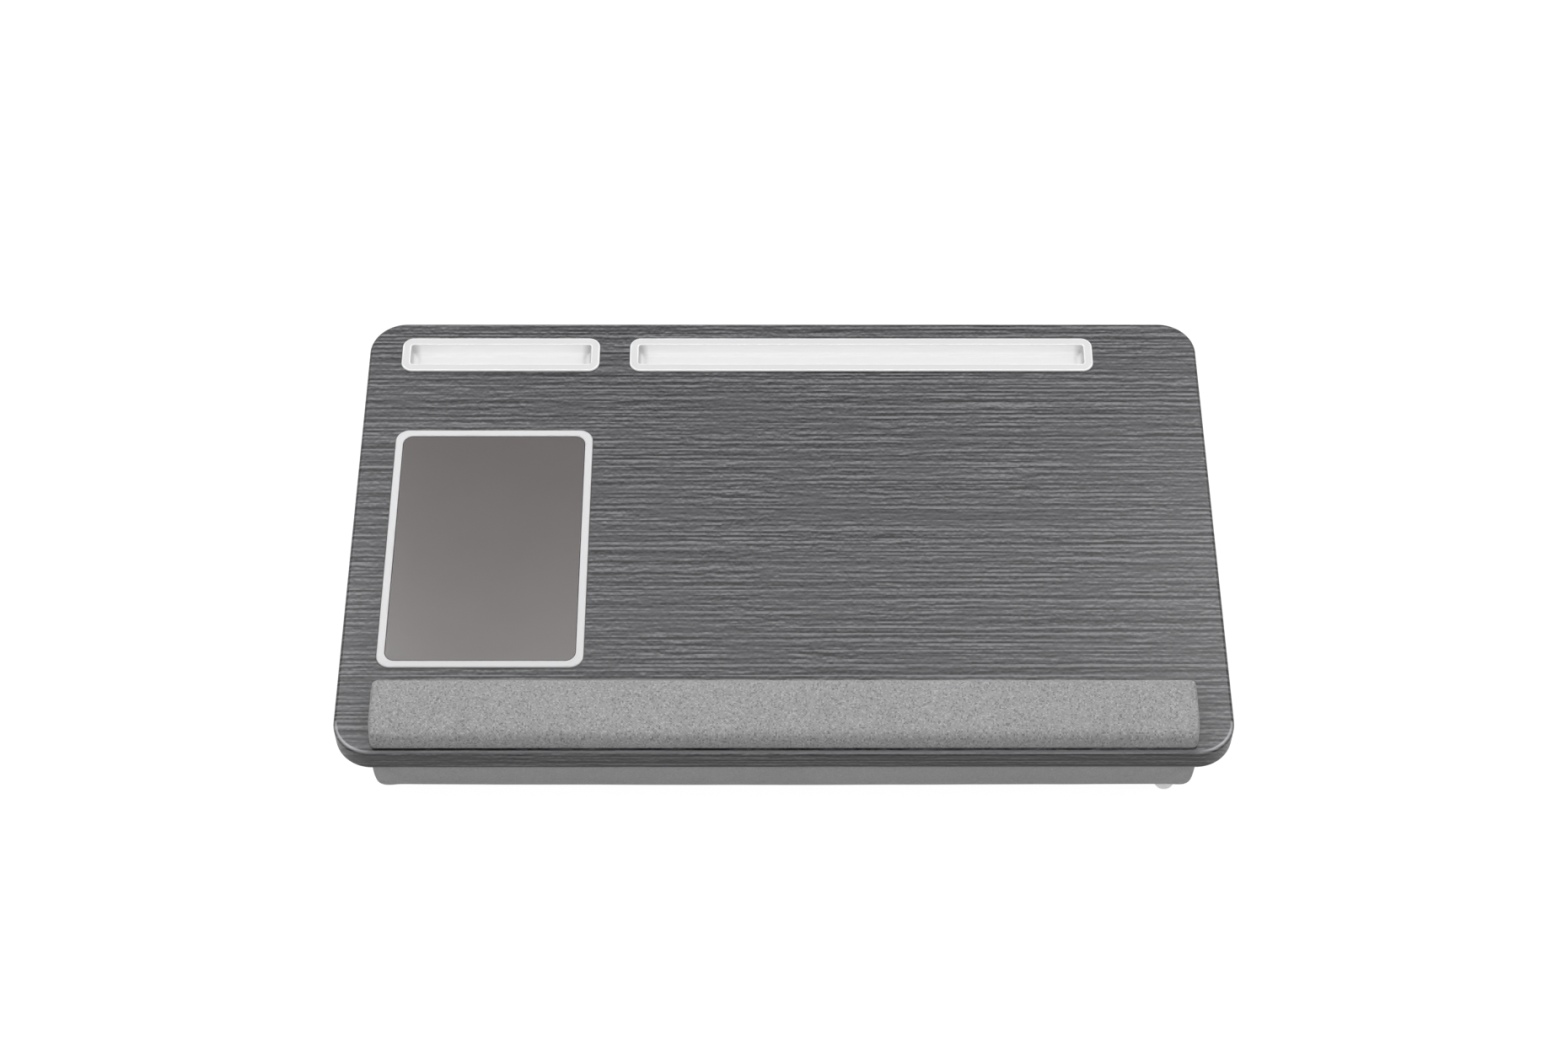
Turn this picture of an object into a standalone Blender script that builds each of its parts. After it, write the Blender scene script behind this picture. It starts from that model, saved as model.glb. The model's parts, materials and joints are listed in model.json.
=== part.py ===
# Lap desk: a film-wrapped board with two drop-in trays, an inlaid mouse pad, a padded
# wrist rest, and two fabric bolsters filled with beads underneath.
# Metres, +Z up, +X to the user's right, +Y away from the user. The origin is on the floor
# under the middle of the board.

from math import asin, copysign, cos, pi, radians, sin, sqrt

import bmesh
import bpy
from mathutils import Vector

# Shared clearances
SEAT_GAP = 0.0003
CUT_OVERRUN = 0.002
MERGE_DISTANCE = 0.00003
LEAST_RADIUS = 0.0005

# Board
BOARD_WIDTH = 0.600
BOARD_DEPTH = 0.3672
BOARD_THICKNESS = 0.0195
BOARD_CORNER_RADIUS = 0.026
BOARD_EDGE_ROUND = 0.0028
FILM_THICKNESS = 0.0004
FILM_TURN_UNDER = 0.008
BACKER_THICKNESS = 0.0004

# Trays for a phone and a tablet, in one row along the back
TRAY_BACK_MARGIN = 0.0153
TRAY_LEFT_MARGIN = 0.0238
TRAY_SPACING = 0.0218
TRAY_RIGHT_MARGIN = 0.0754
TRAY_RIM_DEPTH = 0.0302
PHONE_TRAY_WIDTH = 0.1433
TRAY_RIM_CORNER_RADIUS = 0.008
TRAY_FLANGE_WIDTH = 0.0062
TRAY_FLANGE_THICKNESS = 0.0012
TRAY_RIM_ROUND = 0.0007
TRAY_WALL = 0.0014
TRAY_WELL_CORNER_RADIUS = 0.0022
TRAY_DRAFT = 0.0007
TRAY_FLOOR_ROUND = 0.0010
TRAY_TAPE_THICKNESS = 0.0005
TRAY_TAPE_MARGIN = 0.0015
BOARD_LEFT_UNDER_TRAY = 0.0088

# Mouse pad, between the wrist rest and the trays
PAD_LEFT_MARGIN = 0.0248
PAD_WIDTH = 0.140
PAD_REST_SPACING = 0.0139
PAD_TRAY_SPACING = 0.0538
PAD_CORNER_RADIUS = 0.0095
PAD_FRAME_WIDTH = 0.0054
PAD_FRAME_PROUD = 0.0012
PAD_FRAME_ROUND = 0.0009
PAD_SURFACE_PROUD = 0.0006
PAD_SURFACE_THICKNESS = 0.0007
PAD_FOAM_THICKNESS = 0.0013
PAD_TAPE_THICKNESS = 0.0003
PAD_TAPE_MARGIN = 0.002

# Wrist rest along the front edge
REST_FRONT_MARGIN = 0.0046
REST_SIDE_MARGIN = 0.0244
REST_DEPTH = 0.0486
REST_HEIGHT = 0.014
REST_CORNER_RADIUS = 0.0045
REST_LONG_EDGE_ROUND = 0.008
REST_END_ROUND = 0.004
REST_CROWN = 0.0008
REST_COVER_THICKNESS = 0.0008
REST_BASE_THICKNESS = 0.0015
REST_TAPE_THICKNESS = 0.0006
REST_TAPE_MARGIN = 0.006

# Cushion: two bolsters side by side, front and back
CUSHION_HEIGHT = 0.0435
CUSHION_SIDE_MARGIN = 0.0242
CUSHION_FRONT_MARGIN = 0.0038
CUSHION_VALLEY_WIDTH = 0.032
BOLSTER_CORNER_RADIUS = 0.006
BOLSTER_RIM_DRAW_IN = 0.0018
BOLSTER_UNDER_CURVE = 0.050
BOLSTER_SIDE_PULL = 0.0007
BOLSTER_COVER_THICKNESS = 0.0012
BOLSTER_FLAT_CUT = 0.0005
BOLSTER_WIDEST_SHARE = 0.465
BOLSTER_FULLNESS = 2.4
BOLSTER_POWER = 2 / BOLSTER_FULLNESS
PANEL_THICKNESS = 0.0008
PANEL_OVERLAP = 0.003

# Card strips and staples that hold the cushion's panel to the board
STRIP_THICKNESS = 0.0012
STRIP_WIDTH = 0.010
STRIP_INSET = 0.006
STRIP_END_MARGIN = 0.030
STAPLE_WIRE = 0.0007
STAPLE_WIDTH = 0.010
STAPLE_BITE = 0.0022
STAPLE_HOLE_CLEARANCE = 0.0003
STAPLE_PLACE_SHARES = (-0.75, -0.25, 0.25, 0.75)

# Sewn-in blank tag at the right end of the front bolster
TAG_WIDTH = 0.013
TAG_LENGTH = 0.034
TAG_THICKNESS = 0.0005
TAG_END_MARGIN = 0.0175
TAG_FRONT_MARGIN = 0.0059

# Counts of points on curved stretches
BOARD_ARC_STEPS = 8
TRAY_ARC_STEPS = 6
PAD_ARC_STEPS = 6
REST_ARC_STEPS = 4
BOLSTER_ARC_STEPS = 5
BOLSTER_LONG_SIDE_STEPS = 6
BOLSTER_SHORT_SIDE_STEPS = 3
EDGE_ROUND_STEPS = 3
PROFILE_RIM_STEPS = 3
PROFILE_UNDER_STEPS = 6
SHARP_ANGLE = radians(35)
EDGE_ANGLE = radians(60)

# Heights worked out from the sizes above
board_bottom = CUSHION_HEIGHT
board_top = CUSHION_HEIGHT + BOARD_THICKNESS
core_bottom = board_bottom + BACKER_THICKNESS + SEAT_GAP
core_top = board_top - FILM_THICKNESS - SEAT_GAP
core_margin = FILM_THICKNESS + SEAT_GAP

panel_top = board_bottom - SEAT_GAP
panel_bottom = panel_top - PANEL_THICKNESS
strip_top = panel_bottom - SEAT_GAP
strip_bottom = strip_top - STRIP_THICKNESS
crown_centre = strip_bottom - SEAT_GAP - STAPLE_WIRE / 2
fill_top = crown_centre - STAPLE_WIRE / 2 - SEAT_GAP
cover_rim = panel_bottom - SEAT_GAP

# Places of the trays, the mouse pad and the wrist rest on the board
tray_centre_y = BOARD_DEPTH / 2 - TRAY_BACK_MARGIN - TRAY_RIM_DEPTH / 2
phone_tray_left = -BOARD_WIDTH / 2 + TRAY_LEFT_MARGIN
phone_tray_x = phone_tray_left + PHONE_TRAY_WIDTH / 2
tablet_tray_left = phone_tray_left + PHONE_TRAY_WIDTH + TRAY_SPACING
tablet_tray_width = BOARD_WIDTH / 2 - TRAY_RIGHT_MARGIN - tablet_tray_left
tablet_tray_x = tablet_tray_left + tablet_tray_width / 2

rest_width = BOARD_WIDTH - 2 * REST_SIDE_MARGIN
rest_centre_y = -BOARD_DEPTH / 2 + REST_FRONT_MARGIN + REST_DEPTH / 2

pad_front = rest_centre_y + REST_DEPTH / 2 + PAD_REST_SPACING
pad_back = tray_centre_y - TRAY_RIM_DEPTH / 2 - PAD_TRAY_SPACING
pad_depth = pad_back - pad_front
pad_x = -BOARD_WIDTH / 2 + PAD_LEFT_MARGIN + PAD_WIDTH / 2
pad_y = (pad_front + pad_back) / 2

# Place and size of each bolster, the rear one mirroring the front one
bolster_half_x = BOARD_WIDTH / 2 - CUSHION_SIDE_MARGIN
bolster_half_y = (BOARD_DEPTH - 2 * CUSHION_FRONT_MARGIN - CUSHION_VALLEY_WIDTH) / 4
bolster_y = bolster_half_y + CUSHION_VALLEY_WIDTH / 2
bolster_widest = cover_rim * BOLSTER_WIDEST_SHARE
bolster_fill_skin = BOLSTER_COVER_THICKNESS + SEAT_GAP


def clear_scene():
    for obj in list(bpy.data.objects):
        bpy.data.objects.remove(obj, do_unlink=True)


def new_collection(name):
    collection = bpy.data.collections.new(name)
    bpy.context.scene.collection.children.link(collection)
    return collection


def new_material(name, color, roughness, metallic=0.0):
    material = bpy.data.materials.new(name)
    material.use_nodes = True
    shader = material.node_tree.nodes["Principled BSDF"]
    shader.inputs["Base Color"].default_value = (*color, 1.0)
    shader.inputs["Roughness"].default_value = roughness
    shader.inputs["Metallic"].default_value = metallic
    return material


def rounded_outline(half_x, half_y, radius, arc_steps, side_steps=(1, 1), pull=0.0):
    """Points of a rounded rectangle, anticlockwise. The sides' middles stand out by pull."""
    corner_x = half_x - pull - radius
    corner_y = half_y - pull - radius
    points = []
    for quarter, (sign_x, sign_y) in enumerate(((1, 1), (-1, 1), (-1, -1), (1, -1))):
        centre = Vector((sign_x * corner_x, sign_y * corner_y))
        for step in range(arc_steps + 1):
            angle = (quarter + step / arc_steps) * pi / 2
            points.append(centre + radius * Vector((cos(angle), sin(angle))))
        outward = Vector((cos(angle), sin(angle)))
        onward = Vector((-sin(angle), cos(angle)))
        start = points[-1]
        reach = 2 * (corner_y if quarter % 2 else corner_x)
        steps = side_steps[quarter % 2]
        for step in range(1, steps):
            share = step / steps
            swell = pull * 4 * share * (1 - share)
            points.append(start + onward * reach * share + outward * swell)
    return points


def add_object(name, mesh, place, material, collection):
    obj = bpy.data.objects.new(name, mesh)
    obj.location = place
    mesh.materials.append(material)
    mesh.shade_smooth()
    mesh.set_sharp_from_angle(angle=SHARP_ANGLE)
    collection.objects.link(obj)
    return obj


def flat_plate(name, outline, place, low, high, material, collection):
    """A flat piece from a 2D outline, between two heights."""
    curve = bpy.data.curves.new(name + "_outline", "CURVE")
    curve.dimensions = "2D"
    curve.fill_mode = "BOTH"
    curve.extrude = (high - low) / 2
    spline = curve.splines.new("POLY")
    spline.points.add(len(outline) - 1)
    spline.use_cyclic_u = True
    for point, spot in zip(spline.points, outline):
        point.co = (spot.x, spot.y, 0, 1)
    guide = bpy.data.objects.new(name + "_outline", curve)
    collection.objects.link(guide)
    bpy.context.view_layer.update()
    graph = bpy.context.evaluated_depsgraph_get()
    mesh = bpy.data.meshes.new_from_object(guide.evaluated_get(graph))
    bpy.data.objects.remove(guide, do_unlink=True)
    shape = bmesh.new()
    shape.from_mesh(mesh)
    bmesh.ops.remove_doubles(shape, verts=shape.verts, dist=MERGE_DISTANCE)
    bmesh.ops.recalc_face_normals(shape, faces=shape.faces)
    shape.to_mesh(mesh)
    shape.free()
    mesh.name = name
    spot = (place[0], place[1], (low + high) / 2)
    return add_object(name, mesh, spot, material, collection)


def rounded_plate(name, size, radius, place, low, high, material, collection, arc_steps):
    outline = rounded_outline(size[0] / 2, size[1] / 2, radius, arc_steps)
    return flat_plate(name, outline, place, low, high, material, collection)


def box(name, size, centre, material, collection):
    shape = bmesh.new()
    bmesh.ops.create_cube(shape, size=1)
    bmesh.ops.scale(shape, vec=size, verts=shape.verts)
    mesh = bpy.data.meshes.new(name)
    shape.to_mesh(mesh)
    shape.free()
    return add_object(name, mesh, centre, material, collection)


def swept_shell(name, rings, place, material, collection, ring_closed=False):
    """Skins a run of level outlines, each (outline, height), with the same number of points.
    The first and last outline are capped, or joined to each other for a frame."""
    shape = bmesh.new()
    loops = []
    for outline, height in rings:
        loops.append([shape.verts.new((spot.x, spot.y, height)) for spot in outline])
    pairs = list(zip(loops, loops[1:]))
    if ring_closed:
        pairs.append((loops[-1], loops[0]))
    for lower, upper in pairs:
        for index in range(len(lower)):
            after = (index + 1) % len(lower)
            shape.faces.new((lower[index], lower[after], upper[after], upper[index]))
    if not ring_closed:
        shape.faces.new(loops[0])
        shape.faces.new(loops[-1])
    bmesh.ops.recalc_face_normals(shape, faces=shape.faces)
    mesh = bpy.data.meshes.new(name)
    shape.to_mesh(mesh)
    shape.free()
    return add_object(name, mesh, (place[0], place[1], 0), material, collection)


def round_edges(obj, width):
    bevel = obj.modifiers.new("edge_round", "BEVEL")
    bevel.width = width
    bevel.segments = EDGE_ROUND_STEPS
    bevel.limit_method = "ANGLE"
    bevel.angle_limit = EDGE_ANGLE


def cut(obj, cutter):
    difference = obj.modifiers.new("cut_" + cutter.name, "BOOLEAN")
    difference.operation = "DIFFERENCE"
    difference.object = cutter
    cutter.hide_render = True
    cutter.display_type = "WIRE"


def quarter_round(steps):
    """Pairs (inward, up) on a quarter circle of radius 1, from its side to its top."""
    turns = [step / steps * pi / 2 for step in range(steps + 1)]
    return [(1 - cos(turn), sin(turn)) for turn in turns]


def board_plate(name, margin, low, high, material, collection):
    size = (BOARD_WIDTH - 2 * margin, BOARD_DEPTH - 2 * margin)
    radius = BOARD_CORNER_RADIUS - margin
    return rounded_plate(
        name, size, radius, (0, 0), low, high, material, collection, BOARD_ARC_STEPS
    )


def tray_opening_size(width):
    side = 2 * (TRAY_FLANGE_WIDTH - TRAY_WALL - SEAT_GAP)
    return (width - side, TRAY_RIM_DEPTH - side)


def make_tray_pocket(name, x, width, material, cutters):
    radius = TRAY_WELL_CORNER_RADIUS + TRAY_WALL + SEAT_GAP
    return rounded_plate(
        name,
        tray_opening_size(width),
        radius,
        (x, tray_centre_y),
        core_bottom + BOARD_LEFT_UNDER_TRAY,
        board_top + CUT_OVERRUN,
        material,
        cutters,
        TRAY_ARC_STEPS,
    )


def pad_stack_bottom():
    stack = PAD_TAPE_THICKNESS + PAD_FOAM_THICKNESS + PAD_SURFACE_THICKNESS
    return board_top + PAD_SURFACE_PROUD - stack - 2 * SEAT_GAP


def make_pad_pocket(material, cutters):
    size = (PAD_WIDTH + 2 * SEAT_GAP, pad_depth + 2 * SEAT_GAP)
    return rounded_plate(
        "pad_pocket",
        size,
        PAD_CORNER_RADIUS + SEAT_GAP,
        (pad_x, pad_y),
        pad_stack_bottom() - SEAT_GAP,
        board_top + CUT_OVERRUN,
        material,
        cutters,
        PAD_ARC_STEPS,
    )


def make_board(paint, parts, cutters, pockets, leg_holes):
    core = board_plate(
        "board_core", core_margin, core_bottom, core_top, paint["fibreboard"], parts
    )
    round_edges(core, BOARD_EDGE_ROUND - core_margin)
    film = board_plate(
        "wood_grain_film", 0.0, board_bottom, board_top, paint["grain_film"], parts
    )
    round_edges(film, BOARD_EDGE_ROUND)
    inside = board_plate(
        "film_inside",
        FILM_THICKNESS,
        board_bottom + FILM_THICKNESS,
        board_top - FILM_THICKNESS,
        paint["cutter"],
        cutters,
    )
    round_edges(inside, BOARD_EDGE_ROUND - FILM_THICKNESS)
    below = board_plate(
        "film_below",
        FILM_TURN_UNDER,
        board_bottom - CUT_OVERRUN,
        board_bottom + CUT_OVERRUN,
        paint["cutter"],
        cutters,
    )
    backer = board_plate(
        "backer_sheet",
        FILM_TURN_UNDER + SEAT_GAP,
        board_bottom,
        board_bottom + BACKER_THICKNESS,
        paint["backer"],
        parts,
    )
    cut(film, inside)
    cut(film, below)
    for pocket in pockets:
        cut(core, pocket)
        cut(film, pocket)
    cut(core, leg_holes)
    cut(backer, leg_holes)


def tray_ring(width, inset, height, radius=None):
    if radius is None:
        radius = max(TRAY_RIM_CORNER_RADIUS - inset, LEAST_RADIUS)
    outline = rounded_outline(
        width / 2 - inset, TRAY_RIM_DEPTH / 2 - inset, radius, TRAY_ARC_STEPS
    )
    return outline, height


def make_tray(name, x, width, paint, parts):
    """A drop-in tray: a flat flange on the board round a well with drafted walls."""
    flange_low = board_top + SEAT_GAP
    flange_high = flange_low + TRAY_FLANGE_THICKNESS
    tape_low = core_bottom + BOARD_LEFT_UNDER_TRAY + SEAT_GAP
    under = tape_low + TRAY_TAPE_THICKNESS + SEAT_GAP
    floor = under + TRAY_WALL
    outside = TRAY_FLANGE_WIDTH - TRAY_WALL
    well_radius = TRAY_WELL_CORNER_RADIUS
    outer_radius = TRAY_WELL_CORNER_RADIUS + TRAY_WALL
    rings = [
        tray_ring(width, outside + TRAY_DRAFT, under, outer_radius),
        tray_ring(width, outside, flange_low, outer_radius),
        tray_ring(width, 0.0, flange_low),
    ]
    rim_low = flange_high - TRAY_RIM_ROUND
    for inward, up in quarter_round(EDGE_ROUND_STEPS):
        inset = inward * TRAY_RIM_ROUND
        rings.append(tray_ring(width, inset, rim_low + up * TRAY_RIM_ROUND))
    for inward, up in reversed(quarter_round(EDGE_ROUND_STEPS)):
        inset = TRAY_FLANGE_WIDTH - inward * TRAY_RIM_ROUND
        rings.append(tray_ring(width, inset, rim_low + up * TRAY_RIM_ROUND, well_radius))
    for inward, up in quarter_round(EDGE_ROUND_STEPS):
        inset = TRAY_FLANGE_WIDTH + TRAY_DRAFT + inward * TRAY_FLOOR_ROUND
        height = floor + (1 - up) * TRAY_FLOOR_ROUND
        rings.append(tray_ring(width, inset, height, well_radius))
    swept_shell(name, rings, (x, tray_centre_y), paint["white_plastic"], parts)
    opening = tray_opening_size(width)
    side = 2 * (TRAY_DRAFT + TRAY_TAPE_MARGIN)
    rounded_plate(
        name + "_tape",
        (opening[0] - side, opening[1] - side),
        TRAY_WELL_CORNER_RADIUS,
        (x, tray_centre_y),
        tape_low,
        tape_low + TRAY_TAPE_THICKNESS,
        paint["tape"],
        parts,
        TRAY_ARC_STEPS,
    )


def pad_ring(inset, height):
    radius = PAD_CORNER_RADIUS - inset
    outline = rounded_outline(
        PAD_WIDTH / 2 - inset, pad_depth / 2 - inset, radius, PAD_ARC_STEPS
    )
    return outline, height


def make_mouse_pad(paint, parts):
    """A raised plastic frame let into the board, round a soft surface on foam."""
    low = pad_stack_bottom()
    high = board_top + PAD_FRAME_PROUD
    corner = high - PAD_FRAME_ROUND
    rings = [pad_ring(PAD_FRAME_WIDTH, low), pad_ring(0.0, low)]
    for inward, up in quarter_round(EDGE_ROUND_STEPS):
        rings.append(pad_ring(inward * PAD_FRAME_ROUND, corner + up * PAD_FRAME_ROUND))
    for inward, up in reversed(quarter_round(EDGE_ROUND_STEPS)):
        inset = PAD_FRAME_WIDTH - inward * PAD_FRAME_ROUND
        rings.append(pad_ring(inset, corner + up * PAD_FRAME_ROUND))
    place = (pad_x, pad_y)
    swept_shell("mouse_pad_frame", rings, place, paint["white_plastic"], parts, True)

    inner = PAD_FRAME_WIDTH + SEAT_GAP
    layers = (
        ("mouse_pad_tape", PAD_TAPE_THICKNESS, inner + PAD_TAPE_MARGIN, "tape"),
        ("mouse_pad_foam", PAD_FOAM_THICKNESS, inner, "foam"),
        ("mouse_pad_surface", PAD_SURFACE_THICKNESS, inner, "pad_leather"),
    )
    for name, thickness, inset, material in layers:
        rounded_plate(
            name,
            (PAD_WIDTH - 2 * inset, pad_depth - 2 * inset),
            max(PAD_CORNER_RADIUS - inset, LEAST_RADIUS),
            place,
            low,
            low + thickness,
            paint[material],
            parts,
            PAD_ARC_STEPS,
        )
        low += thickness + SEAT_GAP


def rest_rings(skin, low):
    """Outlines of the wrist rest from a height up to its crown, a skin inside its outside."""
    top = board_top + REST_HEIGHT - REST_CROWN - skin
    round_x = REST_END_ROUND - skin
    round_y = REST_LONG_EDGE_ROUND - skin
    half_x = rest_width / 2 - skin
    half_y = REST_DEPTH / 2 - skin
    radius = REST_CORNER_RADIUS - skin
    rings = []

    def add(inset_x, inset_y, height):
        ring_radius = max(radius - min(inset_x, inset_y), LEAST_RADIUS)
        outline = rounded_outline(
            half_x - inset_x, half_y - inset_y, ring_radius, REST_ARC_STEPS
        )
        rings.append((outline, height))

    add(0.0, 0.0, low)
    for inward, up in quarter_round(REST_ARC_STEPS):
        add(inward * round_x, inward * round_y, top - (1 - up) * round_y)
    middle = (half_y - round_y) / 2
    add(round_x + middle, round_y + middle, top + REST_CROWN)
    return rings


def make_wrist_rest(paint, parts):
    place = (0, rest_centre_y)
    tape_low = board_top + SEAT_GAP
    base_low = tape_low + REST_TAPE_THICKNESS + SEAT_GAP
    foam_low = base_low + REST_BASE_THICKNESS + SEAT_GAP
    inner = REST_COVER_THICKNESS + SEAT_GAP
    outside = rest_rings(0.0, tape_low)
    inside = rest_rings(REST_COVER_THICKNESS, tape_low)
    swept_shell(
        "wrist_rest_cover", inside[::-1] + outside, place, paint["rest_fabric"], parts
    )
    swept_shell("wrist_rest_foam", rest_rings(inner, foam_low), place, paint["foam"], parts)
    layers = (
        ("wrist_rest_base", base_low, REST_BASE_THICKNESS, inner, "base_board"),
        ("wrist_rest_tape", tape_low, REST_TAPE_THICKNESS, REST_TAPE_MARGIN, "tape"),
    )
    for name, low, thickness, inset, material in layers:
        rounded_plate(
            name,
            (rest_width - 2 * inset, REST_DEPTH - 2 * inset),
            max(REST_CORNER_RADIUS - inset, LEAST_RADIUS),
            place,
            low,
            low + thickness,
            paint[material],
            parts,
            REST_ARC_STEPS,
        )


def bolster_point(skin, turn):
    """Inset and height on a bolster's side, a skin inside its outside, where turn is the
    angle above the widest height, up to the rim, or below it, down to the floor."""
    if turn > 0:
        reach, rise = BOLSTER_RIM_DRAW_IN, cover_rim - bolster_widest
    else:
        reach, rise = BOLSTER_UNDER_CURVE, bolster_widest + BOLSTER_FLAT_CUT
    inward = 1 - max(cos(turn), 0.0) ** BOLSTER_POWER
    upward = copysign(abs(sin(turn)) ** BOLSTER_POWER, turn)
    return skin + (reach - skin) * inward, bolster_widest + (rise - skin) * upward


def bolster_rings(skin, with_rim):
    """Outlines down a bolster's side, from its rim or from the top of its fill."""
    fill_rise = cover_rim - bolster_widest - bolster_fill_skin
    top = asin(((fill_top - bolster_widest) / fill_rise) ** (1 / BOLSTER_POWER))
    floor_drop = bolster_widest + BOLSTER_FLAT_CUT - skin
    bottom = asin(((bolster_widest - skin) / floor_drop) ** (1 / BOLSTER_POWER))
    turns = [pi / 2] if with_rim else []
    turns += [top * step / PROFILE_RIM_STEPS for step in range(PROFILE_RIM_STEPS, 0, -1)]
    turns += [-bottom * step / PROFILE_UNDER_STEPS for step in range(PROFILE_UNDER_STEPS + 1)]
    rings = []
    for turn in turns:
        inset, height = bolster_point(skin, turn)
        outline = rounded_outline(
            bolster_half_x - inset,
            bolster_half_y - inset,
            BOLSTER_CORNER_RADIUS,
            BOLSTER_ARC_STEPS,
            (BOLSTER_LONG_SIDE_STEPS, BOLSTER_SHORT_SIDE_STEPS),
            BOLSTER_SIDE_PULL,
        )
        rings.append((outline, height))
    return rings


def make_bolster(name, side, paint, parts):
    """A sewn cover, open at its rim against the panel, and the bead fill inside it."""
    place = (0, side * bolster_y)
    outside = bolster_rings(0.0, True)
    inside = bolster_rings(BOLSTER_COVER_THICKNESS, True)
    swept_shell(
        name + "_cover", outside[::-1] + inside, place, paint["cushion_fabric"], parts
    )
    fill = bolster_rings(bolster_fill_skin, False)
    swept_shell(name + "_fill", fill, place, paint["bead_fill"], parts)


def make_panel(paint, parts, leg_holes):
    side = BOLSTER_RIM_DRAW_IN - PANEL_OVERLAP
    half_x = bolster_half_x - side
    half_y = BOARD_DEPTH / 2 - CUSHION_FRONT_MARGIN - side
    panel = rounded_plate(
        "cushion_panel",
        (2 * half_x, 2 * half_y),
        BOLSTER_CORNER_RADIUS,
        (0, 0),
        panel_bottom,
        panel_top,
        paint["panel_fabric"],
        parts,
        BOLSTER_ARC_STEPS,
    )
    cut(panel, leg_holes)


def strip_places():
    """Name and Y of each card strip, one along each long side of each bolster."""
    reach = bolster_half_y - BOLSTER_RIM_DRAW_IN - STRIP_INSET - STRIP_WIDTH / 2
    places = []
    for name, side in (("front", -1), ("rear", 1)):
        for edge, sign in (("outer", side), ("valley", -side)):
            places.append((name + "_" + edge + "_tack_strip", side * bolster_y + sign * reach))
    return places


def strip_half_length():
    return bolster_half_x - BOLSTER_RIM_DRAW_IN - STRIP_END_MARGIN


def make_strips(paint, parts, leg_holes):
    size = (2 * strip_half_length(), STRIP_WIDTH, STRIP_THICKNESS)
    for name, y in strip_places():
        centre = (0, y, (strip_bottom + strip_top) / 2)
        strip = box(name, size, centre, paint["card"], parts)
        cut(strip, leg_holes)


def staple_places():
    places = []
    for _, y in strip_places():
        for share in STAPLE_PLACE_SHARES:
            places.append((share * strip_half_length(), y))
    return places


def make_leg_holes(material, cutters):
    """One cutter with a square hole for each staple leg, through the strips into the core."""
    side = STAPLE_WIRE + 2 * STAPLE_HOLE_CLEARANCE
    low = strip_bottom - CUT_OVERRUN
    high = core_bottom + STAPLE_BITE + STAPLE_HOLE_CLEARANCE
    shape = bmesh.new()
    for x, y in staple_places():
        for sign in (-1, 1):
            made = bmesh.ops.create_cube(shape, size=1)
            verts = made["verts"]
            bmesh.ops.scale(shape, vec=(side, side, high - low), verts=verts)
            leg_x = x + sign * (STAPLE_WIDTH - STAPLE_WIRE) / 2
            bmesh.ops.translate(shape, vec=(leg_x, y, (low + high) / 2), verts=verts)
    mesh = bpy.data.meshes.new("staple_leg_holes")
    shape.to_mesh(mesh)
    shape.free()
    return add_object("staple_leg_holes", mesh, (0, 0, 0), material, cutters)


def make_staples(paint, parts):
    half = (STAPLE_WIDTH - STAPLE_WIRE) / 2
    leg = core_bottom + STAPLE_BITE - crown_centre
    wire = bpy.data.curves.new("staple_wire", "CURVE")
    wire.dimensions = "3D"
    wire.bevel_depth = STAPLE_WIRE / 2
    wire.bevel_resolution = 0
    wire.use_fill_caps = True
    spline = wire.splines.new("POLY")
    corners = ((-half, leg), (-half, 0.0), (half, 0.0), (half, leg))
    spline.points.add(len(corners) - 1)
    for point, (x, z) in zip(spline.points, corners):
        point.co = (x, 0, z, 1)
    wire.materials.append(paint["staple_steel"])
    for index, (x, y) in enumerate(staple_places()):
        staple = bpy.data.objects.new("staple_%02d" % (index + 1), wire)
        staple.location = (x, y, crown_centre)
        parts.objects.link(staple)


def bolster_inset_at(x, y):
    """How far inside a bolster's widest outline a point near its corner lies."""
    from_centre_x = bolster_half_x - BOLSTER_SIDE_PULL - BOLSTER_CORNER_RADIUS - abs(x)
    from_centre_y = bolster_half_y - BOLSTER_SIDE_PULL - BOLSTER_CORNER_RADIUS - abs(y)
    spread = from_centre_x - from_centre_y
    if abs(spread) >= BOLSTER_CORNER_RADIUS:
        return min(from_centre_x, from_centre_y) + BOLSTER_CORNER_RADIUS
    corner = sqrt(2 * BOLSTER_CORNER_RADIUS**2 - spread**2)
    return (from_centre_x + from_centre_y + corner) / 2


def bolster_underside_at(x, y):
    """Height of a bolster's curved underside above the floor."""
    share = max(1 - bolster_inset_at(x, y) / BOLSTER_UNDER_CURVE, 0.0)
    drop = (1 - share**BOLSTER_FULLNESS) ** (1 / BOLSTER_FULLNESS)
    return max(bolster_widest - (bolster_widest + BOLSTER_FLAT_CUT) * drop, 0.0)


def make_tag(paint, parts):
    """A blank tag that comes out of the seam under the front bolster and lies by the floor."""
    x = bolster_half_x - TAG_END_MARGIN
    front = -bolster_y - bolster_half_y + TAG_FRONT_MARGIN
    root = front + TAG_LENGTH
    seam = bolster_underside_at(x - TAG_WIDTH / 2, root + bolster_y)
    centre = (x, front + TAG_LENGTH / 2, seam - SEAT_GAP - TAG_THICKNESS / 2)
    box("seam_tag", (TAG_WIDTH, TAG_LENGTH, TAG_THICKNESS), centre, paint["tag"], parts)


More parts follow.
